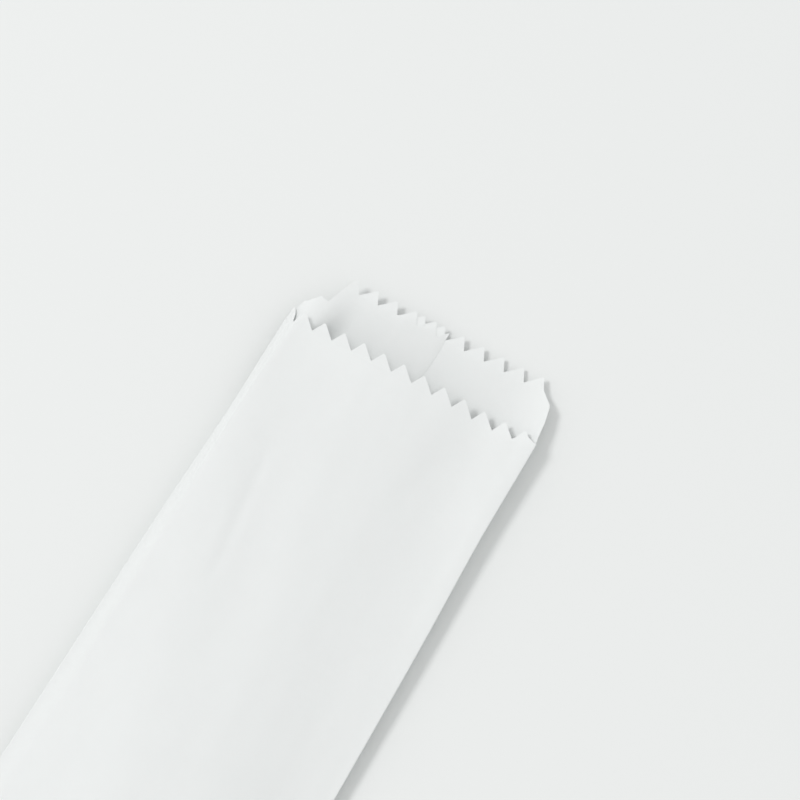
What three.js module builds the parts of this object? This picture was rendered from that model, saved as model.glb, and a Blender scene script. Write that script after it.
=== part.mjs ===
// A paper sleeve for table cutlery, lying on its back with its mouth towards +Y. Millimetres, +Z up.
// It is one sheet of paper: a flat blank, folded at both sides into a tube, lapped and glued down the
// middle of the back, and closed at the bottom by a flap that is turned up and glued on the back.
import * as THREE from "three";

// Driving sizes of the blank
const paper = 0.12; // thickness of the sheet
const sleeveWidth = 75; // flat, from side fold to side fold
const frontLength = 222; // from the bottom fold to the notches of the front panel's mouth
const lipLength = 15.8; // how much further the back panel reaches than the front one
const lipInset = 1.3; // how far in from the side folds the lip's sides stand
// Top of the lip's side, and how far in from the fold its slanted corner starts and ends
const leftCorner = { height: 7.3, start: 5.5, end: 9.8 };
const rightCorner = { height: 3.6, start: 1.3, end: 6.2 };
const cornerRise = 1.2; // how much higher the mouth is cut at the side folds
const cornerWidth = 3; // width over which the front panel's mouth rises to that
const mouthSkew = -0.013; // rise of the mouth's cut lines per millimetre to the right
const flapLength = 16; // from the bottom fold to the tips of the glued flap
const lapWidth = 12; // glued lap of the seam
const lapEdge = 1.8; // where the inner ply of the seam ends, right of the middle

// Driving sizes of the zigzag that the mouth and the flap are cut in
const toothPitch = 5.86;
const toothDepth = 3.4; // from the notches to the tips
const toothLean = 0.33; // where a tooth's tip stands in its pitch
const tipWidth = 0.5; // blunt end of a tooth
const outerShift = 1.35; // how far the zigzag of the outer ply is off the rest

// Driving sizes of the folds and the glue
const foldRadius = 0.25; // side folds, at the middle of the sheet
const glue = 0.02; // layer of glue between two plies
const plyEase = 2.5; // length over which a ply comes down past the edge of the ply under it

// Driving sizes of the opened shape. Below its middle the sleeve keeps the shape that it has there,
// flatter and flatter towards the bottom.
const middleAt = 118; // from the bottom fold to the middle
const fillStart = 4; // flat paper past the flap, before the sleeve starts to open
const fillLength = 96; // from there to where it is fully open
const liftWidth = 15; // strip of the back panel beside each fold that leaves the table
const leftLift = { middle: 3.3, mouth: 3.9 }; // height of the left fold over the table
const rightLift = { middle: 3.1, mouth: 4.8 }; // height of the right fold over the table
const lipRelax = 0.35; // share of the side lift that the lip has lost at its end
const lipCurl = { left: 2.6, right: 0.7 }; // height of the lip's end over the table
const foldEase = 4; // width beside a fold over which the front panel's swellings die out

// Long swellings and one sag of the front panel: half width, then place across and height
const swellings = [
  { reach: 8.8, middle: { at: -21, height: 2.6 }, mouth: { at: -28.5, height: 3.2 } },
  { reach: 9.5, middle: { at: -11, height: -0.4 }, mouth: { at: -19, height: 1.5 } },
  { reach: 25, middle: { at: 0, height: 3.6 }, mouth: { at: -6, height: 4 } },
  { reach: 13, middle: { at: 24, height: -1.3 }, mouth: { at: 21, height: -1.4 } },
];

// How finely the sheet is drawn
const frontStep = 2.6; // widest column of the front panel
const backStep = 4; // widest column of the back panel
const rowStep = 24; // longest row of the open part
const bendSteps = 5; // facets round a side fold
const turnSteps = 4; // facets round the bottom fold
const mouthRows = 3; // rows past the open part, up to the notches
const sampleStep = 0.5; // longest step when the length of the sheet is added up
const probe = 0.05; // how far from a fold a panel's slope there is taken

const panelWidth = sleeveWidth - 2 * foldRadius - paper; // straight part between two side folds
const halfPanel = panelWidth / 2;
const ply = paper + glue; // what one more ply adds to the height
const outerEdge = lapEdge - lapWidth; // where the outer ply of the seam ends
const closedLength = flapLength + fillStart;
const closest = tipWidth / 2; // nearest that two columns come
const turnLength = Math.PI * foldRadius; // sheet taken up by a side fold

// The zigzag runs along the flat blank, from the left fold. A place on it is where a panel starts, plus
// or minus the distance across: the back's two parts are folded over, so their teeth lean the other way.
const innerBack = { start: -turnLength - halfPanel, direction: -1 };
const frontPanel = { start: halfPanel, direction: 1 };
const outerBack = { start: panelWidth + turnLength + halfPanel - outerShift, direction: -1 };

const clamp = (value, low, high) => Math.min(Math.max(value, low), high);
const ease = (value) => {
  const t = clamp(value, 0, 1);
  return t * t * (3 - 2 * t);
};
const mix = THREE.MathUtils.lerp;

const placeOn = (panel, across) => panel.start + panel.direction * across;

// Height of the zigzag over its notches
function tooth(place) {
  const turns = place / toothPitch + toothLean;
  const at = (turns - Math.floor(turns)) * toothPitch;
  const rise = toothLean * toothPitch - tipWidth / 2;
  const fall = toothPitch - rise - tipWidth;
  return toothDepth * clamp(Math.min(at / rise, (toothPitch - at) / fall), 0, 1);
}

const fromFold = (across) => halfPanel - Math.abs(across);

// The lines through the notches of the mouth. The back panel's is level in the middle, slants down at
// the corners of the lip and drops at its sides. The front panel's rises to meet it at the folds.
function backNotches(across) {
  const corner = across < 0 ? leftCorner : rightCorner;
  const side = clamp(fromFold(across) / lipInset, 0, 1);
  const slant = clamp((fromFold(across) - corner.start) / (corner.end - corner.start), 0, 1);
  const height = mix(mix(cornerRise, corner.height, side), lipLength, slant);
  return frontLength + height + mouthSkew * across;
}

function frontNotches(across) {
  return frontLength + cornerRise * ease(1 - fromFold(across) / cornerWidth) + mouthSkew * across;
}

// How far a point is on the way from the left fold to the right one, from 0 to 1
const shareAcross = (across) => (across + halfPanel) / panelWidth;

// How far the sleeve has opened at a distance from its bottom fold, from 0 to 1
const opened = (along) => ease((along - closedLength) / fillLength);

// How far a point is on the way from the sleeve's middle to its mouth, from 0 to 1
const upperShare = (along) => clamp((along - middleAt) / (frontLength - middleAt), 0, 1);

// How far a point is along the lip, from 0 at the front panel's mouth to 1
const pastMouth = (along) => clamp((along - frontLength) / lipLength, 0, 1);

// Heights of the middle of the sheet over the table, for each panel
function backHeight(across, along, inner) {
  const overFlap = 1 - ease((along - flapLength) / plyEase);
  const overLap = inner ? ease((across - outerEdge + plyEase) / plyEase) : 0;
  const { middle, mouth } = across < 0 ? leftLift : rightLift;
  const lift = mix(middle, mouth, upperShare(along)) * opened(along) * (1 - lipRelax * pastMouth(along));
  const raised = clamp(1 - fromFold(across) / liftWidth, 0, 1) ** 2;
  const curl = mix(lipCurl.left, lipCurl.right, shareAcross(across)) * pastMouth(along) ** 2;
  return paper / 2 + ply * (overFlap + overLap) + lift * raised + curl;
}

function frontHeight(across, along) {
  const leftFold = backHeight(-halfPanel, along);
  const foldHeight = mix(leftFold, backHeight(halfPanel, along), shareAcross(across));
  let swell = 0;
  for (const { reach, middle, mouth } of swellings) {
    const at = mix(middle.at, mouth.at, upperShare(along));
    const away = clamp((across - at) / reach, -1, 1);
    swell += mix(middle.height, mouth.height, upperShare(along)) * Math.cos((away * Math.PI) / 2) ** 2;
  }
  // Nothing swells at the folds themselves
  const free = ease(fromFold(across) / foldEase);
  return foldHeight + 2 * foldRadius + swell * free * opened(along);
}

// Paper doesn't stretch: across a panel each step of sheet keeps its length, so a steeper
// stretch covers less table.
function tableWidth(height, across, along) {
  const steps = Math.ceil((across + halfPanel) / sampleStep);
  const step = (across + halfPanel) / Math.max(steps, 1);
  let covered = 0;
  for (let i = 0; i < steps; i++) {
    const low = -halfPanel + i * step;
    const rise = height(low + step, along) - height(low, along);
    covered += Math.sqrt(Math.max(step ** 2 - rise ** 2, 0));
  }
  return covered;
}

function frontPoint(across, along) {
  const width = tableWidth(frontHeight, halfPanel, along);
  const x = tableWidth(frontHeight, across, along) - width / 2;
  return new THREE.Vector3(x, along, frontHeight(across, along));
}

// The back panel is drawn in to the width of the front one.
function backPoint(across, along, inner) {
  const width = tableWidth(frontHeight, halfPanel, along);
  const ownWidth = tableWidth(backHeight, halfPanel, along);
  const x = (tableWidth(backHeight, across, along) / ownWidth - 0.5) * width;
  return new THREE.Vector3(x, along, backHeight(across, along, inner));
}

// A side fold is a smooth turn from one panel to the other.
function foldPoint(side, turn, along) {
  const end = side * halfPanel;
  const start = backPoint(end, along);
  const finish = frontPoint(end, along);
  const outward = (point, near) => point.clone().sub(near).normalize();
  const handle = (4 / 3) * foldRadius;
  const leave = outward(start, backPoint(end - side * probe, along)).multiplyScalar(handle);
  const arrive = outward(finish, frontPoint(end - side * probe, along)).multiplyScalar(handle);
  return new THREE.CubicBezierCurve3(
    start,
    start.clone().add(leave),
    finish.clone().add(arrive),
    finish,
  ).getPoint(turn);
}

// The front ply turns under at the bottom fold and runs back up the sleeve as the flap.
const topPly = frontHeight(0, 0);
const turnRadius = (topPly - paper / 2) / 2;
function turnPoint(across, turn) {
  const angle = turn * Math.PI;
  const { x } = frontPoint(across, 0);
  return new THREE.Vector3(x, -turnRadius * Math.sin(angle), topPly - turnRadius * (1 - Math.cos(angle)));
}

// Places across a panel where the sheet is drawn: each notch, both ends of each tip, and the panel's
// own ends and corners.
function columnPlaces(panel, low, high, widest) {
  const fixed = [low, high];
  const wanted = [
    lipInset - halfPanel,
    leftCorner.start - halfPanel,
    leftCorner.end - halfPanel,
    outerEdge - plyEase,
    outerEdge,
    halfPanel - rightCorner.end,
    halfPanel - rightCorner.start,
  ];
  const ends = [placeOn(panel, low), placeOn(panel, high)];
  const first = Math.floor(Math.min(...ends) / toothPitch);
  for (let tip = first * toothPitch; tip < Math.max(...ends) + toothPitch; tip += toothPitch) {
    for (const corner of [-toothLean * toothPitch, -tipWidth / 2, tipWidth / 2]) {
      wanted.push((tip + corner - panel.start) * panel.direction);
    }
  }
  for (const place of wanted) {
    if (place < low || place > high) continue;
    if (fixed.every((other) => Math.abs(other - place) > closest)) fixed.push(place);
  }
  fixed.sort((a, b) => a - b);
  return fixed.flatMap((place, i) => {
    const gap = (fixed[i + 1] ?? place) - place;
    const parts = Math.max(Math.ceil(gap / widest), 1);
    return Array.from({ length: gap > 0 ? parts : 1 }, (_, k) => place + (gap * k) / parts);
  });
}

// Columns of the blank, from the inner edge of the seam round to its outer edge. Each knows where its
// points lie, where its notch line is, how high its zigzag stands there, and where it carries the flap.
function blankColumns() {
  const turns = Array.from({ length: bendSteps - 1 }, (_, k) => (k + 1) / bendSteps);
  const back = (panel, across) => ({
    point: (along) => backPoint(across, along, panel === innerBack),
    notches: backNotches(across),
    tooth: tooth(placeOn(panel, across)),
  });
  const front = (across) => ({
    point: (along) => frontPoint(across, along),
    notches: frontNotches(across),
    tooth: tooth(placeOn(frontPanel, across)),
    flapAcross: across,
  });
  const fold = (side, turn) => {
    const panel = side < 0 ? innerBack : outerBack;
    const end = side * halfPanel;
    return {
      point: (along) => foldPoint(side, turn, along),
      notches: frontNotches(end),
      tooth: tooth(mix(placeOn(panel, end), placeOn(frontPanel, end), turn)),
    };
  };
  const inner = columnPlaces(innerBack, -halfPanel, lapEdge, backStep).reverse();
  const outer = columnPlaces(outerBack, outerEdge, halfPanel, backStep).reverse();
  return [
    ...inner.map((across) => back(innerBack, across)),
    ...turns.map((turn) => fold(-1, turn)),
    ...columnPlaces(frontPanel, -halfPanel, halfPanel, frontStep).map(front),
    ...turns.map((turn) => fold(1, 1 - turn)),
    ...outer.map((across) => back(outerBack, across)),
  ];
}

// Rows of the blank, from the flap's teeth round the bottom fold and up to the mouth. Each gives the
// point of a column, and flap rows have no cells outside the front panel.
function blankRows() {
  const rows = [];
  const flapNotches = flapLength - toothDepth;
  rows.push({ flap: true, point: (column) => {
    const point = turnPoint(column.flapAcross, 1);
    point.y = flapNotches + column.tooth;
    return point;
  } });
  for (let i = turnSteps; i > 0; i--) {
    rows.push({ flap: true, point: (column) => turnPoint(column.flapAcross, i / turnSteps) });
  }
  const straight = [0, flapLength / 2, flapLength, flapLength + plyEase / 2, flapLength + plyEase];
  const lastStraight = frontLength - toothDepth;
  const open = lastStraight - closedLength;
  const openRows = Math.ceil(open / rowStep);
  for (let i = 0; i <= openRows; i++) straight.push(closedLength + (open * i) / openRows);
  for (const along of straight) rows.push({ point: (column) => column.point(along) });
  for (let i = 1; i <= mouthRows; i++) {
    rows.push({ point: (column) => {
      const belowNotch = column.notches - paper;
      return column.point(mix(lastStraight, belowNotch, i / mouthRows));
    } });
  }
  rows.push({ point: (column) => column.point(column.notches + column.tooth) });
  return rows;
}

// Gives a surface of cells the thickness of the paper, with a rim along its cut edges
function thicken(middle) {
  middle.computeVertexNormals();
  const { position, normal } = middle.attributes;
  const count = position.count;
  const vertices = [];
  for (const side of [0.5, -0.5]) {
    for (let i = 0; i < count; i++) {
      vertices.push(
        position.getX(i) + side * paper * normal.getX(i),
        position.getY(i) + side * paper * normal.getY(i),
        position.getZ(i) + side * paper * normal.getZ(i),
      );
    }
  }
  const faces = [];
  const edges = new Map();
  const outside = Array.from(middle.index.array);
  for (let i = 0; i < outside.length; i += 3) {
    const [a, b, c] = outside.slice(i, i + 3);
    faces.push(a, b, c, c + count, b + count, a + count);
    for (const [from, to] of [[a, b], [b, c], [c, a]]) {
      if (!edges.delete(`${to},${from}`)) edges.set(`${from},${to}`, [from, to]);
    }
  }
  for (const [from, to] of edges.values()) {
    faces.push(to, from, from + count, to, from + count, to + count);
  }
  const solid = new THREE.BufferGeometry();
  solid.setAttribute("position", new THREE.Float32BufferAttribute(vertices, 3));
  solid.setIndex(faces);
  return solid;
}

// The blank, folded
function foldedSheet() {
  const columns = blankColumns();
  const rows = blankRows();
  const vertices = [];
  const numbers = rows.map((row) => columns.map((column) => {
    if (row.flap && column.flapAcross === undefined) return null;
    vertices.push(...row.point(column).toArray());
    return vertices.length / 3 - 1;
  }));
  const faces = [];
  for (let i = 0; i + 1 < rows.length; i++) {
    for (let j = 0; j + 1 < columns.length; j++) {
      const corners = [numbers[i][j], numbers[i][j + 1], numbers[i + 1][j + 1], numbers[i + 1][j]];
      if (corners.includes(null)) continue;
      const [a, b, c, d] = corners;
      faces.push(a, b, c, a, c, d);
    }
  }
  const middle = new THREE.BufferGeometry();
  middle.setAttribute("position", new THREE.Float32BufferAttribute(vertices, 3));
  middle.setIndex(faces);
  return thicken(middle);
}

function paperSleeve() {
  const geometry = foldedSheet();
  geometry.computeBoundingBox();
  const middle = geometry.boundingBox.getCenter(new THREE.Vector3());
  geometry.translate(-middle.x, -middle.y, -geometry.boundingBox.min.z);
  geometry.computeVertexNormals();
  const whitePaper = new THREE.MeshStandardMaterial({ color: 0xf1f2f2, roughness: 0.85, metalness: 0 });
  const mesh = new THREE.Mesh(geometry, whitePaper);
  mesh.name = "paper_sleeve";
  return mesh;
}

const group = new THREE.Group();
group.add(paperSleeve());
export default group;
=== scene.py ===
# A paper sleeve lying on a pale table: one sheet, folded, lapped, glued and cut in a zigzag.
# Lengths are in millimetres until the mesh is made. Along the sleeve they start at its bottom fold.
import math

import bpy
import numpy as np
from mathutils import Matrix, Vector


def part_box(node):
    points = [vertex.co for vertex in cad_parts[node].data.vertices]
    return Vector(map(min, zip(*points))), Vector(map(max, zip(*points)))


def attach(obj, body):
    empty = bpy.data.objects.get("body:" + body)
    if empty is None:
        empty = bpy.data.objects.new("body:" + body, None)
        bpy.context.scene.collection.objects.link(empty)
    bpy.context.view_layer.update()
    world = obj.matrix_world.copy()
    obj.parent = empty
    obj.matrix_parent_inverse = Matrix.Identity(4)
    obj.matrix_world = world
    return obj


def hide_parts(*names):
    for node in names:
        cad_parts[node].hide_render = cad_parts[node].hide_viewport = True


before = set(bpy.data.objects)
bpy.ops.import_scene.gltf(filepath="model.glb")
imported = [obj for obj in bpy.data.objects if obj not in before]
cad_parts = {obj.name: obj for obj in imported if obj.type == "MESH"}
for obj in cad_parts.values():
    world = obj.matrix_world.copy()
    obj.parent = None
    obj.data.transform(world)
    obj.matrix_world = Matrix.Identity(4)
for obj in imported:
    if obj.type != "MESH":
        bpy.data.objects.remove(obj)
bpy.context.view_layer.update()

MM = 0.001

# The blank
PAPER = 0.12
SLEEVE_WIDTH = 75.0
FRONT_LENGTH = 222.0
LIP_LENGTH = 15.8
CORNER_RISE = 1.2
CORNER_WIDTH = 3.0
MOUTH_SKEW = -0.013
# Beside a fold the lip climbs to this height within the inset, then slants to its full length
LEFT_CORNER = {"inset": 1.0, "height": 7.3, "start": 5.5, "end": 9.8}
RIGHT_CORNER = {"inset": 1.0, "height": 6.5, "start": 1.0, "end": 6.2}
FLAP_LENGTH = 16.0
# The lap, and how far right of the middle its free edge lies inside
LAP_WIDTH = 12.0
LAP_EDGE = 1.8

# The zigzag cut
TOOTH_PITCH = 5.86
TOOTH_DEPTH = 3.4
TOOTH_LEAN = 0.33
TIP_WIDTH = 0.5
# How far the teeth of the lap's outer part are shifted along the blank
OUTER_SHIFT = 1.35

# The folds and the glue
FOLD_RADIUS = 0.25
GLUE = 0.02
PLY_EASE = 2.5
# The lap's free edge is pressed to this share of the paper's thickness, over this width
PRESSED_SHARE = 0.35
PRESSED_WIDTH = 2.0

# How far the sleeve stands open: the lift of each fold at the middle and at the mouth, and how the
# lip relaxes and curls at its left and at its right
MIDDLE_AT = 118.0
FILL_START = 4.0
FILL_LENGTH = 96.0
LIFT_WIDTH = 15.0
LEFT_LIFT = (3.3, 3.9)
RIGHT_LIFT = (3.1, 4.8)
LIP_RELAX = (0.8, 0.05)
LIP_CURL = (3.4, 0.6)
FOLD_EASE = 5.2
# Beside the left fold the back panel stays against the front one near the mouth
CLING_WIDTH = (6.5, 16.0)
CLING_START = 190.0
CLING_RUN = 26.0
CLING_RELAX = 0.8
# Swellings of the front: half width, place and height at the middle, and both at the mouth
SWELLINGS = [
    (22.4, -30.7, 0.6, -27.0, 3.3),
    (16.3, -9.2, 1.0, -24.0, -2.2),
    (38.0, -8.3, 4.0, -11.1, 2.6),
    (21.2, 11.0, 2.3, 16.4, -0.5),
    (15.9, 23.7, 1.0, 25.2, -1.9),
]

# Ripples of both panels, how their heights spread, and how evenly the back's are levelled
FRONT_RIPPLES = {"seed": 11, "count": 9, "height": 0.05, "wide": (9, 30), "long": (40, 150)}
BACK_RIPPLES = {"seed": 12, "count": 7, "height": 0.04, "wide": (10, 32), "long": (40, 120)}
RIPPLE_SPREAD = (0.5, 1.0)
BACK_RIPPLE_HEIGHT = 0.1
BACK_RIPPLE_EASE = 0.08

# Soft creases of the front: where each starts and ends, its half width and its depth
CREASE_FADE = 0.25
CREASES = [
    ((-20.5, 196.0), (-14.0, 150.0), 1.7, -0.22),
    ((-23.5, 188.0), (-18.5, 158.0), 2.2, 0.12),
    ((13.0, 176.0), (20.5, 118.0), 2.4, -0.12),
    ((19.5, 214.0), (13.5, 190.0), 2.2, -0.12),
    ((-4.0, 150.0), (3.0, 92.0), 2.6, 0.08),
    ((30.0, 168.0), (27.0, 96.0), 2.4, 0.08),
    ((-30.0, 150.0), (-25.5, 84.0), 2.2, -0.08),
    ((-7.0, 214.0), (-12.0, 196.0), 2.0, 0.10),
]

# How finely the sheet is divided
GRID_ACROSS = 301
GRID_ALONG = 487
GRID_MARGIN = 1.0
BACK_COLUMN = 1.1
FRONT_COLUMN = 0.75
BEND_STEPS = 8
FOLD_PROBE = 0.05
FLAP_ROW = 1.6
ROW_GAP = 0.1
PLY_ROWS = 6
PANEL_ROWS = 104
MOUTH_ROWS = 8
TOOTH_SHARES = (0.35, 0.7, 1.0)
FLAP_TOOTH_SHARES = (1.0, 0.5)
FLAP_ROWS = 8
FLAP_START = 1.0
FLAP_GAP = 0.3
SHARP_ANGLE = math.radians(45)

PANEL_WIDTH = SLEEVE_WIDTH - 2 * FOLD_RADIUS - PAPER
HALF_PANEL = PANEL_WIDTH / 2
PLY = PAPER + GLUE
OUTER_EDGE = LAP_EDGE - LAP_WIDTH
CLOSED_LENGTH = FLAP_LENGTH + FILL_START
TURN_LENGTH = math.pi * FOLD_RADIUS
SHEET_END = FRONT_LENGTH + LIP_LENGTH + TOOTH_DEPTH + GRID_MARGIN


def ease(value):
    """Smooth step from 0 to 1."""
    t = np.clip(value, 0.0, 1.0)
    return t * t * (3 - 2 * t)


def mix(a, b, share):
    return a + (b - a) * share


# The cut lines: where each panel lies on the unrolled sheet, and which way it runs
PANELS = {
    "inner": (-TURN_LENGTH - HALF_PANEL, -1),
    "front": (HALF_PANEL, 1),
    "outer": (PANEL_WIDTH + TURN_LENGTH + HALF_PANEL - OUTER_SHIFT, -1),
}


def place_on(panel, across):
    """Place on the unrolled sheet of a point of a panel."""
    start, direction = PANELS[panel]
    return start + direction * across


def tooth(place):
    """Height of the zigzag above its notches, at a place on the unrolled sheet."""
    turns = place / TOOTH_PITCH + TOOTH_LEAN
    at = (turns - np.floor(turns)) * TOOTH_PITCH
    rise = TOOTH_LEAN * TOOTH_PITCH - TIP_WIDTH / 2
    fall = TOOTH_PITCH - rise - TIP_WIDTH
    return TOOTH_DEPTH * np.clip(np.minimum(at / rise, (TOOTH_PITCH - at) / fall), 0, 1)


def from_fold(across):
    """Distance from the nearer fold."""
    return HALF_PANEL - np.abs(across)


def back_notches(across):
    """How far along the sleeve the notches of the lip lie."""
    corner = LEFT_CORNER if across < 0 else RIGHT_CORNER
    side = np.clip(from_fold(across) / corner["inset"], 0, 1)
    run = corner["end"] - corner["start"]
    slant = np.clip((from_fold(across) - corner["start"]) / run, 0, 1)
    height = mix(mix(CORNER_RISE, corner["height"], side), LIP_LENGTH, slant)
    return FRONT_LENGTH + height + MOUTH_SKEW * across


def front_notches(across):
    """How far along the sleeve the notches of the front lie."""
    rise = CORNER_RISE * ease(1 - from_fold(across) / CORNER_WIDTH)
    return FRONT_LENGTH + rise + MOUTH_SKEW * across


# The opened shape

def share_across(across):
    """0 at the left fold, 1 at the right one."""
    return (across + HALF_PANEL) / PANEL_WIDTH


def opened(along):
    """0 at the closed bottom, 1 where the sleeve stands fully open."""
    return ease((along - CLOSED_LENGTH) / FILL_LENGTH)


def upper_share(along):
    """0 up to the middle, 1 at the mouth."""
    return np.clip((along - MIDDLE_AT) / (FRONT_LENGTH - MIDDLE_AT), 0, 1)


def past_mouth(along):
    """0 up to the edge of the front, 1 at the end of the lip."""
    return np.clip((along - FRONT_LENGTH) / LIP_LENGTH, 0, 1)


def ripples(across, along, waves):
    total = np.zeros(np.broadcast(across, along).shape)
    for height, wide, long, turn in waves:
        total = total + height * np.sin(2 * math.pi * (across / wide + along / long) + turn)
    return total


def waves_of(seed, count, height, wide, long):
    """Height, width, length and start of each ripple."""
    draw = np.random.RandomState(seed)
    return [
        (
            height * draw.uniform(*RIPPLE_SPREAD),
            draw.choice((-1, 1)) * draw.uniform(*wide),
            draw.choice((-1, 1)) * draw.uniform(*long),
            draw.uniform(0, 2 * math.pi),
        )
        for _ in range(count)
    ]


FRONT_WAVES = waves_of(**FRONT_RIPPLES)
BACK_WAVES = waves_of(**BACK_RIPPLES)


def creases(across, along):
    """Height that the soft creases add."""
    total = np.zeros(np.broadcast(across, along).shape)
    for (x0, y0), (x1, y1), reach, depth in CREASES:
        length = math.hypot(x1 - x0, y1 - y0)
        ux, uy = (x1 - x0) / length, (y1 - y0) / length
        forward = ((across - x0) * ux + (along - y0) * uy) / length
        aside = (across - x0) * -uy + (along - y0) * ux
        fade = ease(forward / CREASE_FADE) * ease((1 - forward) / CREASE_FADE)
        total = total + depth * fade * np.exp(-((aside / reach) ** 2))
    return total


def resting_back(across, along, inner=False):
    """Height of the back panel on the table, lifted beside the folds."""
    over_flap = 1 - ease((along - FLAP_LENGTH) / PLY_EASE)
    over_lap = ease((across - OUTER_EDGE + PLY_EASE) / PLY_EASE) if inner else 0.0
    left = mix(*LEFT_LIFT, upper_share(along))
    right = mix(*RIGHT_LIFT, upper_share(along))
    relax = mix(*LIP_RELAX, share_across(across)) * past_mouth(along)
    lift = np.where(across < 0, left, right) * opened(along) * (1 - relax)
    raised = np.clip(1 - from_fold(across) / LIFT_WIDTH, 0, 1) ** 2
    curl = mix(*LIP_CURL, share_across(across)) * past_mouth(along) ** 2
    level = np.tanh(ripples(across, along, BACK_WAVES) / BACK_RIPPLE_EASE)
    waves = (0.5 + 0.5 * level) * BACK_RIPPLE_HEIGHT
    free = ease(from_fold(across) / FOLD_EASE) * opened(along)
    plies = PAPER / 2 + PLY * (over_flap + over_lap)
    return plies + lift * raised + curl + waves * free


def front_height(across, along):
    """Height of the front panel, held by the folds and swollen between them."""
    left_fold = resting_back(-HALF_PANEL, along)
    fold_height = mix(left_fold, resting_back(HALF_PANEL, along), share_across(across))
    swell = 0.0
    for reach, middle_at, middle_height, mouth_at, mouth_height in SWELLINGS:
        at = mix(middle_at, mouth_at, upper_share(along))
        away = np.clip((across - at) / reach, -1, 1)
        height = mix(middle_height, mouth_height, upper_share(along))
        swell = swell + height * np.cos(away * math.pi / 2) ** 2
    swell = swell + ripples(across, along, FRONT_WAVES) + creases(across, along)
    free = ease(from_fold(across) / FOLD_EASE)
    return fold_height + 2 * FOLD_RADIUS + swell * free * opened(along)


def clinging(across, along):
    """Share by which the back panel lies against the front one."""
    full, none = CLING_WIDTH
    beside_fold = 1 - ease((across + HALF_PANEL - full) / (none - full))
    near_mouth = ease((along - CLING_START) / CLING_RUN)
    return beside_fold * near_mouth * (1 - CLING_RELAX * past_mouth(along))


def back_height(across, along, inner=False):
    """Height of the back panel, drawn to the front one where it clings."""
    against_front = front_height(across, along) - 2 * FOLD_RADIUS
    return mix(resting_back(across, along, inner), against_front, clinging(across, along))


# From the blank to the table: the sheet keeps its length across each panel

ACROSS_GRID = np.linspace(-HALF_PANEL, HALF_PANEL, GRID_ACROSS)
ALONG_GRID = np.linspace(0.0, SHEET_END, GRID_ALONG)


def width_table(height):
    """How much width a curved panel covers up to each place, row by row."""
    heights = height(ACROSS_GRID[None, :], ALONG_GRID[:, None])
    step = ACROSS_GRID[1] - ACROSS_GRID[0]
    covered = np.sqrt(np.maximum(step**2 - np.diff(heights, axis=1) ** 2, 0))
    return np.concatenate([np.zeros((len(ALONG_GRID), 1)), np.cumsum(covered, axis=1)], axis=1)


def look_up(table, across, along):
    """Value of a table between its places."""
    u = np.clip(share_across(across), 0, 1) * (len(ACROSS_GRID) - 1)
    v = np.clip(along / SHEET_END, 0, 1) * (len(ALONG_GRID) - 1)
    i = np.minimum(u.astype(int), len(ACROSS_GRID) - 2)
    j = np.minimum(v.astype(int), len(ALONG_GRID) - 2)
    low = mix(table[j, i], table[j, i + 1], u - i)
    high = mix(table[j + 1, i], table[j + 1, i + 1], u - i)
    return mix(low, high, v - j)


FRONT_WIDTHS = width_table(front_height)
BACK_WIDTHS = width_table(back_height)
FRONT_PLACES = FRONT_WIDTHS - FRONT_WIDTHS[:, -1:] / 2
BACK_PLACES = (BACK_WIDTHS / BACK_WIDTHS[:, -1:] - 0.5) * FRONT_WIDTHS[:, -1:]


def front_point(across, along):
    across, along = np.broadcast_arrays(across, along)
    x = look_up(FRONT_PLACES, across, along)
    return np.stack([x, along, front_height(across, along)], axis=-1)


def back_point(across, along, inner=False):
    across, along = np.broadcast_arrays(across, along)
    x = look_up(BACK_PLACES, across, along)
    return np.stack([x, along, back_height(across, along, inner)], axis=-1)


def fold_point(side, turn, along):
    """Round fold that leaves the back panel and meets the front one in line with them."""
    end = side * HALF_PANEL
    start, finish = back_point(end, along), front_point(end, along)
    leave = start - back_point(end - side * FOLD_PROBE, along)
    arrive = finish - front_point(end - side * FOLD_PROBE, along)
    # A half circle drawn as one curve has handles of 4/3 of its radius
    handle = 4 / 3 * FOLD_RADIUS
    leave = start + handle * leave / np.linalg.norm(leave, axis=-1, keepdims=True)
    arrive = finish + handle * arrive / np.linalg.norm(arrive, axis=-1, keepdims=True)
    back = 1 - turn
    return (
        back**3 * start
        + 3 * back**2 * turn * leave
        + 3 * back * turn**2 * arrive
        + turn**3 * finish
    )


TOP_PLY = float(front_height(np.array(0.0), np.array(0.0)))
TURN_RADIUS = (TOP_PLY - PAPER / 2) / 2


def turn_point(across, turn):
    """Round turn of the bottom, from the front panel down into the flap."""
    angle = turn * math.pi
    x = look_up(FRONT_PLACES, across, np.zeros_like(across))
    y = np.full_like(x, -TURN_RADIUS * math.sin(angle))
    z = np.full_like(x, TOP_PLY - TURN_RADIUS * (1 - math.cos(angle)))
    return np.stack([x, y, z], axis=-1)


# Columns and rows of the sheet

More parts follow.
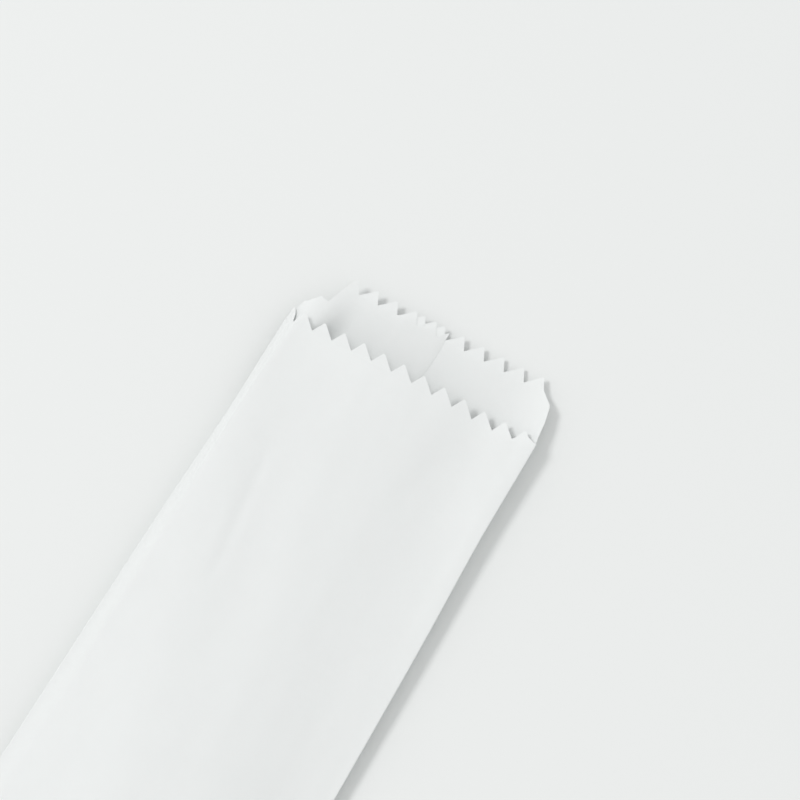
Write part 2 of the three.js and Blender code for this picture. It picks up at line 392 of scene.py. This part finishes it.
def column_places(panel, low, high, widest):
    """Columns at corners, lap edges and each tooth's foot and tip, and evenly between."""
    start, direction = PANELS[panel]
    wanted = [
        LEFT_CORNER["inset"] - HALF_PANEL,
        LEFT_CORNER["start"] - HALF_PANEL,
        LEFT_CORNER["end"] - HALF_PANEL,
        OUTER_EDGE - PLY_EASE,
        OUTER_EDGE,
        HALF_PANEL - RIGHT_CORNER["end"],
        HALF_PANEL - RIGHT_CORNER["start"],
        HALF_PANEL - RIGHT_CORNER["inset"],
    ]
    ends = sorted((place_on(panel, low), place_on(panel, high)))
    tip = math.floor(ends[0] / TOOTH_PITCH) * TOOTH_PITCH
    while tip < ends[1] + TOOTH_PITCH:
        for corner in (-TOOTH_LEAN * TOOTH_PITCH, -TIP_WIDTH / 2, TIP_WIDTH / 2):
            wanted.append((tip + corner - start) * direction)
        tip += TOOTH_PITCH
    fixed = [low, high]
    for place in wanted:
        if low < place < high and min(abs(other - place) for other in fixed) > TIP_WIDTH / 2:
            fixed.append(place)
    fixed.sort()
    places = []
    for a, b in zip(fixed, fixed[1:]):
        parts = max(math.ceil((b - a) / widest), 1)
        places += [mix(a, b, k / parts) for k in range(parts)]
    return places + [fixed[-1]]


def blank_columns():
    """Each column: part of the sheet, place across, share of the turn, notch line, tooth height."""
    columns = []
    for across in reversed(column_places("inner", -HALF_PANEL, LAP_EDGE, BACK_COLUMN)):
        height = tooth(place_on("inner", across))
        columns.append(("inner", across, 0, back_notches(across), height))
    turns = [(k + 1) / BEND_STEPS for k in range(BEND_STEPS - 1)]
    for turn in turns:
        place = mix(place_on("inner", -HALF_PANEL), place_on("front", -HALF_PANEL), turn)
        columns.append(("left", -HALF_PANEL, turn, front_notches(-HALF_PANEL), tooth(place)))
    for across in column_places("front", -HALF_PANEL, HALF_PANEL, FRONT_COLUMN):
        height = tooth(place_on("front", across))
        columns.append(("front", across, 0, front_notches(across), height))
    for turn in reversed(turns):
        place = mix(place_on("outer", HALF_PANEL), place_on("front", HALF_PANEL), turn)
        columns.append(("right", HALF_PANEL, turn, front_notches(HALF_PANEL), tooth(place)))
    for across in reversed(column_places("outer", OUTER_EDGE, HALF_PANEL, BACK_COLUMN)):
        height = tooth(place_on("outer", across))
        columns.append(("outer", across, 0, back_notches(across), height))
    return columns


def sheet_rows(columns, along):
    """Points of every column at its own distance along the sleeve, rows by columns."""
    points = np.zeros((*along.shape, 3))
    for part in ("inner", "front", "outer"):
        pick = [i for i, column in enumerate(columns) if column[0] == part]
        across = np.array([columns[i][1] for i in pick])[None, :]
        if part == "front":
            points[:, pick] = front_point(across, along[:, pick])
        else:
            points[:, pick] = back_point(across, along[:, pick], part == "inner")
    for part, side in (("left", -1), ("right", 1)):
        for i, column in enumerate(columns):
            if column[0] == part:
                points[:, i] = fold_point(side, column[2], along[:, i])
    return points


def tooth_rows(notches, teeth, shares):
    """Rows from just under the notches to the cut, by their share of the teeth."""
    return [notches + teeth * share - PAPER * (1 - share) for share in shares]


def body_rows(columns, notches, teeth):
    """Both panels and folds, from the bottom fold to the cut of the mouth."""
    last = FRONT_LENGTH - TOOTH_DEPTH
    straight = list(np.arange(0, FLAP_LENGTH - ROW_GAP, FLAP_ROW))
    straight += list(FLAP_LENGTH + np.linspace(0, PLY_EASE, PLY_ROWS))
    straight += list(np.linspace(CLOSED_LENGTH, last, PANEL_ROWS))
    rows = [np.full(len(columns), along) for along in straight]
    for i in range(1, MOUTH_ROWS + 1):
        rows.append(mix(last, notches - PAPER, i / MOUTH_ROWS))
    rows += tooth_rows(notches, teeth, TOOTH_SHARES)
    return sheet_rows(columns, np.array(rows))


def flap_rows(across, teeth):
    """The flap, from the tips of its teeth to the turn into the front panel."""
    notches = FLAP_LENGTH - TOOTH_DEPTH
    alongs = tooth_rows(notches, teeth, FLAP_TOOTH_SHARES)
    alongs += list(np.linspace(notches - FLAP_GAP, FLAP_START, FLAP_ROWS))
    rows = []
    for along in alongs:
        points = turn_point(across, 1)
        points[:, 1] = along
        rows.append(points)
    for i in range(BEND_STEPS, 0, -1):
        rows.append(turn_point(across, i / BEND_STEPS))
    return np.array(rows)


def grid_cells(base, row_count, width):
    return [
        (a, a + 1, a + width + 1, a + width)
        for i in range(row_count - 1)
        for a in range(base + i * width, base + (i + 1) * width - 1)
    ]


def folded_sheet():
    """The middle of the paper as points and cells, and its thickness at each point."""
    columns = blank_columns()
    notches = np.array([column[3] for column in columns])
    teeth = np.array([column[4] for column in columns])
    front = [i for i, column in enumerate(columns) if column[0] == "front"]
    body = body_rows(columns, notches, teeth)
    flap = flap_rows(np.array([columns[i][1] for i in front]), teeth[front])

    vertices = np.concatenate([body.reshape(-1, 3), flap.reshape(-1, 3)])
    base = len(body) * len(columns)
    cells = grid_cells(0, len(body), len(columns)) + grid_cells(base, len(flap), len(front))
    # The last row of the turn joins the first row of the front panel
    last_turn = base + (len(flap) - 1) * len(front)
    for j in range(len(front) - 1):
        cells.append((last_turn + j, last_turn + j + 1, front[j + 1], front[j]))
    body_thickness = np.tile([pressed_thickness(column) for column in columns], len(body))
    thickness = np.concatenate([body_thickness, np.full(flap.size // 3, PAPER)])
    return vertices, np.array(cells), thickness


def pressed_thickness(column):
    """The paper, and thinner along the edge of the lap that the glued seam presses down."""
    part, across = column[:2]
    if part != "inner":
        return PAPER
    from_edge = float(ease((LAP_EDGE - across) / PRESSED_WIDTH))
    return PAPER * mix(PRESSED_SHARE, 1.0, from_edge)


def thicken(middle, cells, thickness):
    """Outer and inner face of the paper, and a rim along its cut edges."""
    normals = np.zeros_like(middle)
    across = middle[cells[:, 2]] - middle[cells[:, 0]]
    along = middle[cells[:, 3]] - middle[cells[:, 1]]
    face_normals = np.cross(across, along)
    for k in range(4):
        np.add.at(normals, cells[:, k], face_normals)
    normals /= np.linalg.norm(normals, axis=1, keepdims=True)
    count = len(middle)
    inside = (thickness - PAPER / 2)[:, None]
    vertices = np.concatenate([middle + normals * PAPER / 2, middle - normals * inside])
    # A cut edge is one that a single cell uses
    edges = {}
    for cell in cells.tolist():
        for a, b in zip(cell, cell[1:] + cell[:1]):
            if edges.pop((b, a), None) is None:
                edges[(a, b)] = True
    rim = [(b, a, a + count, b + count) for a, b in edges]
    faces = cells.tolist() + (cells[:, ::-1] + count).tolist() + rim
    return vertices, faces, len(rim)


def make_sleeve(materials):
    middle, cells, thickness = folded_sheet()
    vertices, faces, rim_count = thicken(middle, cells, thickness)
    low, high = vertices.min(axis=0), vertices.max(axis=0)
    vertices = vertices - np.array([(low[0] + high[0]) / 2, (low[1] + high[1]) / 2, low[2]])
    mesh = bpy.data.meshes.new("folded_sheet")
    mesh.from_pydata((vertices * MM).tolist(), [], faces)
    for material in materials:
        mesh.materials.append(material)
    # The rim faces take the cut edge's material, whose lighter colour is a painted highlight along
    # the cut
    slots = np.zeros(len(faces), dtype=np.int32)
    slots[-rim_count:] = 1
    mesh.polygons.foreach_set("material_index", slots)
    mesh.shade_smooth()
    mesh.set_sharp_from_angle(angle=SHARP_ANGLE)
    mesh.validate()
    mesh.update()
    sleeve = bpy.data.objects.new("folded_sheet", mesh)
    bpy.context.collection.objects.link(sleeve)
    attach(sleeve, "root")
    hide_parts("paper_sleeve")


# Materials

# How fine the noise of each effect is, and how much fibres and machine lines add
CLOUD_SCALE = 160.0
FIBRE_SCALE = 2600.0
LINE_SCALE = 1900.0
FIBRE_SHARE = 0.35
LINE_SHARE = 0.35

# What all paper here shares: its shine, light passing through it, spread of its gloss, relief
PAPER_SHINE = 0.35
THROUGH_SHARE = 0.15
THROUGH_DEPTH = 0.0006
GLOSS_SPREAD = 0.06
RELIEF_DEPTH = 0.00003


def fibre_group():
    """Fibres, cloudy formation and fine machine lines of paper, as a tone and a height."""
    group = bpy.data.node_groups.new("Paper fibres", "ShaderNodeTree")
    face = group.interface
    for name in ("Fibre size", "Cloud strength"):
        socket = face.new_socket(name, in_out="INPUT", socket_type="NodeSocketFloat")
        socket.default_value = 1.0
    for name in ("Tone", "Height"):
        face.new_socket(name, in_out="OUTPUT", socket_type="NodeSocketFloat")
    nodes, links = group.nodes, group.links
    enter, leave = nodes.new("NodeGroupInput"), nodes.new("NodeGroupOutput")
    place = nodes.new("ShaderNodeTexCoord")

    def noise(scale, stretch, detail):
        mapping = nodes.new("ShaderNodeMapping")
        mapping.inputs["Scale"].default_value = stretch
        links.new(place.outputs["Object"], mapping.inputs["Vector"])
        texture = nodes.new("ShaderNodeTexNoise")
        texture.inputs["Detail"].default_value = detail
        links.new(mapping.outputs["Vector"], texture.inputs["Vector"])
        texture.inputs["Scale"].default_value = scale
        return texture

    def math_node(operation, a, b):
        node = nodes.new("ShaderNodeMath")
        node.operation = operation
        for socket, value in zip(node.inputs, (a, b)):
            if isinstance(value, (int, float)):
                socket.default_value = value
            else:
                links.new(value, socket)
        return node.outputs[0]

    clouds = noise(CLOUD_SCALE, stretch=(1.0, 0.6, 1.0), detail=3.0)
    fibres = noise(FIBRE_SCALE, stretch=(1.0, 0.35, 1.0), detail=2.0)
    fibre_scale = math_node("DIVIDE", FIBRE_SCALE, enter.outputs["Fibre size"])
    links.new(fibre_scale, fibres.inputs["Scale"])
    lines = noise(LINE_SCALE, stretch=(1.0, 0.004, 0.3), detail=1.0)
    cloud_part = math_node("SUBTRACT", clouds.outputs["Fac"], 0.5)
    cloud_part = math_node("MULTIPLY", cloud_part, enter.outputs["Cloud strength"])
    fibre_part = math_node("SUBTRACT", fibres.outputs["Fac"], 0.5)
    fibre_part = math_node("MULTIPLY", fibre_part, FIBRE_SHARE)
    tone = math_node("ADD", math_node("ADD", cloud_part, fibre_part), 0.5)
    links.new(tone, leave.inputs["Tone"])
    line_part = math_node("MULTIPLY", lines.outputs["Fac"], LINE_SHARE)
    height = math_node("ADD", fibres.outputs["Fac"], line_part)
    links.new(height, leave.inputs["Height"])
    return group


def paper_material(name, fibres, light, shade, fibre_size, cloud_strength, roughness, relief):
    """Matt paper, whose colour moves between its light and its shade with the fibres."""
    material = bpy.data.materials.new(name)
    material.use_nodes = True
    nodes, links = material.node_tree.nodes, material.node_tree.links
    surface = nodes["Principled BSDF"]
    surface.inputs["Specular IOR Level"].default_value = PAPER_SHINE
    surface.inputs["Subsurface Weight"].default_value = THROUGH_SHARE
    surface.inputs["Subsurface Radius"].default_value = (1.0, 1.0, 1.0)
    surface.inputs["Subsurface Scale"].default_value = THROUGH_DEPTH
    grain = nodes.new("ShaderNodeGroup")
    grain.node_tree = fibres
    grain.inputs["Fibre size"].default_value = fibre_size
    grain.inputs["Cloud strength"].default_value = cloud_strength
    tone = nodes.new("ShaderNodeMix")
    tone.data_type = "RGBA"
    tone.inputs["A"].default_value = (*shade, 1)
    tone.inputs["B"].default_value = (*light, 1)
    links.new(grain.outputs["Tone"], tone.inputs["Factor"])
    links.new(tone.outputs["Result"], surface.inputs["Base Color"])
    gloss = nodes.new("ShaderNodeMapRange")
    gloss.inputs["To Min"].default_value = roughness + GLOSS_SPREAD
    gloss.inputs["To Max"].default_value = roughness - GLOSS_SPREAD
    links.new(grain.outputs["Tone"], gloss.inputs["Value"])
    links.new(gloss.outputs["Result"], surface.inputs["Roughness"])
    bump = nodes.new("ShaderNodeBump")
    bump.inputs["Strength"].default_value = relief
    bump.inputs["Distance"].default_value = RELIEF_DEPTH
    links.new(grain.outputs["Height"], bump.inputs["Height"])
    links.new(bump.outputs["Normal"], surface.inputs["Normal"])
    return material


# Table, light and camera, all in metres

TABLE_HALF = 4.0
TABLE_DROP = 0.00003
TABLE_COLOUR = (0.832, 0.848, 0.84, 1)
TABLE_ROUGHNESS = 0.75
TABLE_SHINE = 0.2
ROOM_STRENGTH = 0.72
LAMP_AIM = (0.0, 0.06, 0.0)

# The camera stands at this place, counted along the sleeve from its bottom fold
CAMERA_PLACE = (0.109191, 0.088109, 0.406211)
CAMERA_RIGHT = (0.86347141, 0.49919467, -0.07226201)
CAMERA_UP = (-0.43876867, 0.81403898, 0.38055564)
CAMERA_BACK = (0.24879544, -0.29689260, 0.92193037)
CAMERA_LENS = 78.29


def make_table():
    mesh = bpy.data.meshes.new("table_top")
    signs = ((-1, -1), (1, -1), (1, 1), (-1, 1))
    corners = [(x * TABLE_HALF, y * TABLE_HALF, -TABLE_DROP) for x, y in signs]
    mesh.from_pydata(corners, [], [(0, 1, 2, 3)])
    table = bpy.data.objects.new("table_top", mesh)
    bpy.context.collection.objects.link(table)
    material = bpy.data.materials.new("pale table")
    material.use_nodes = True
    surface = material.node_tree.nodes["Principled BSDF"]
    surface.inputs["Base Color"].default_value = TABLE_COLOUR
    surface.inputs["Roughness"].default_value = TABLE_ROUGHNESS
    surface.inputs["Specular IOR Level"].default_value = TABLE_SHINE
    mesh.materials.append(material)


def add_lamp(name, direction, distance, size, energy):
    toward = Vector(direction).normalized()
    lamp_data = bpy.data.lights.new(name, "AREA")
    lamp_data.shape = "DISK"
    lamp_data.size = size
    lamp_data.energy = energy
    lamp = bpy.data.objects.new(name, lamp_data)
    lamp.location = Vector(LAMP_AIM) + toward * distance
    lamp.rotation_mode = "QUATERNION"
    lamp.rotation_quaternion = toward.to_track_quat("Z", "Y")
    bpy.context.collection.objects.link(lamp)


def make_light():
    world = bpy.data.worlds.new("soft room")
    world.use_nodes = True
    background = world.node_tree.nodes["Background"]
    background.inputs["Color"].default_value = (1.0, 1.0, 1.0, 1)
    background.inputs["Strength"].default_value = ROOM_STRENGTH
    bpy.context.scene.world = world
    add_lamp("window", (-0.56, -0.12, 0.82), distance=2.6, size=0.8, energy=21.7)
    add_lamp("far wall", (0.80, 0.10, 0.55), distance=1.2, size=1.2, energy=0.8)


def make_camera():
    low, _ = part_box("paper_sleeve")
    bottom_fold = low.y + (TURN_RADIUS + PAPER / 2) * MM
    camera_data = bpy.data.cameras.new("camera")
    camera_data.sensor_width = 36.0
    camera_data.lens = CAMERA_LENS
    camera_data.clip_start = 0.01
    camera = bpy.data.objects.new("camera", camera_data)
    turn = Matrix((CAMERA_RIGHT, CAMERA_UP, CAMERA_BACK)).transposed()
    across, along, height = CAMERA_PLACE
    place = Vector((across, along + bottom_fold, height))
    camera.matrix_world = Matrix.Translation(place) @ turn.to_4x4()
    bpy.context.collection.objects.link(camera)
    bpy.context.scene.camera = camera


fibres = fibre_group()
white_paper = paper_material(
    "white paper", fibres, light=(0.86, 0.883, 0.876), shade=(0.837, 0.857, 0.85),
    fibre_size=1.0, cloud_strength=0.8, roughness=0.62, relief=0.35,
)
# The cut edge: rougher paper with coarser fibres, and a colour a little lighter than the face's,
# which is a painted highlight along the cut rims
cut_edge_and_highlight = paper_material(
    "cut paper edge", fibres, light=(0.9, 0.92, 0.915), shade=(0.84, 0.86, 0.85),
    fibre_size=0.6, cloud_strength=0.3, roughness=0.85, relief=0.8,
)
make_sleeve((white_paper, cut_edge_and_highlight))
make_table()
make_light()
make_camera()
bpy.context.scene.view_settings.view_transform = "Standard"
